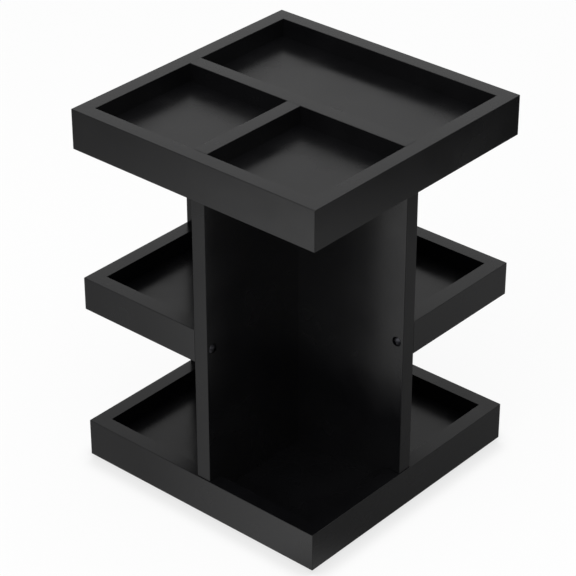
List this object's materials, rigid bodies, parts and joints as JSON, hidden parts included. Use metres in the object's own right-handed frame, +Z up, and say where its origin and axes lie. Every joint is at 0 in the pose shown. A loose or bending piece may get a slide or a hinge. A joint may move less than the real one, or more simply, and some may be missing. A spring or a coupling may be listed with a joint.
{
  "type": "rotating cologne organizer",
  "caption": "Square revolving tower for scent bottles, with a divided top tray, open bays, corner shelves and a rimmed base on a ball-bearing turntable.",
  "frame": {"origin": "centre of the underside, level with the surface that the rubber pads stand on", "axes": "+Z up along the turning axis; the top tray's long divider runs along X with the two small compartments on its -Y side, and the near tall bay is at the corner between +X and -Y"},
  "size_m": [0.28, 0.28, 0.371],
  "materials": {
    "black_board": "satin black lacquer on board",
    "black_screw": "black oxide",
    "insert_brass": "bright",
    "zinc_plate": "zinc plated sheet",
    "zinc_screw": "zinc plated",
    "bearing_steel": "polished",
    "cage_plastic": "moulded nylon",
    "pad_rubber": "matte"
  },
  "bodies": {
    "foot": {"foot_board": "black_board", "foot_pads": "pad_rubber", "turntable_lower_plate": "zinc_plate", "turntable_lower_screws": "zinc_screw"},
    "carousel": {"base_floor": "black_board", "base_wall_right": "black_board", "base_wall_back": "black_board", "base_wall_left": "black_board", "base_wall_front": "black_board", "upright_front": "black_board", "upright_right": "black_board", "upright_back": "black_board", "upright_left": "black_board", "right_shelf_floor": "black_board", "right_shelf_wall_right": "black_board", "right_shelf_wall_back": "black_board", "left_shelf_floor": "black_board", "left_shelf_wall_left": "black_board", "left_shelf_wall_front": "black_board", "top_floor": "black_board", "top_wall_right": "black_board", "top_wall_back": "black_board", "top_wall_left": "black_board", "top_wall_front": "black_board", "divider_long": "black_board", "divider_short": "black_board", "shelf_bolts": "black_screw", "shelf_bolt_inserts": "insert_brass", "base_screws": "zinc_screw", "turntable_upper_plate": "zinc_plate", "turntable_upper_screws": "zinc_screw"},
    "ball_ring": {"turntable_ball_cage": "cage_plastic", "turntable_balls": "bearing_steel"}
  },
  "joints": [
    {"name": "turntable_spin", "type": "hinge", "parent": "foot", "child": "carousel", "pos_m": [0, 0, 0.012], "axis": [0, 0, 1], "continuous": true},
    {"name": "ball_ring_spin", "type": "hinge", "parent": "foot", "child": "ball_ring", "pos_m": [0, 0, 0.012], "axis": [0, 0, 1], "continuous": true}
  ],
  "couplings": [
    {"joint": "ball_ring_spin", "follows": "turntable_spin", "ratio": 0.5}
  ]
}
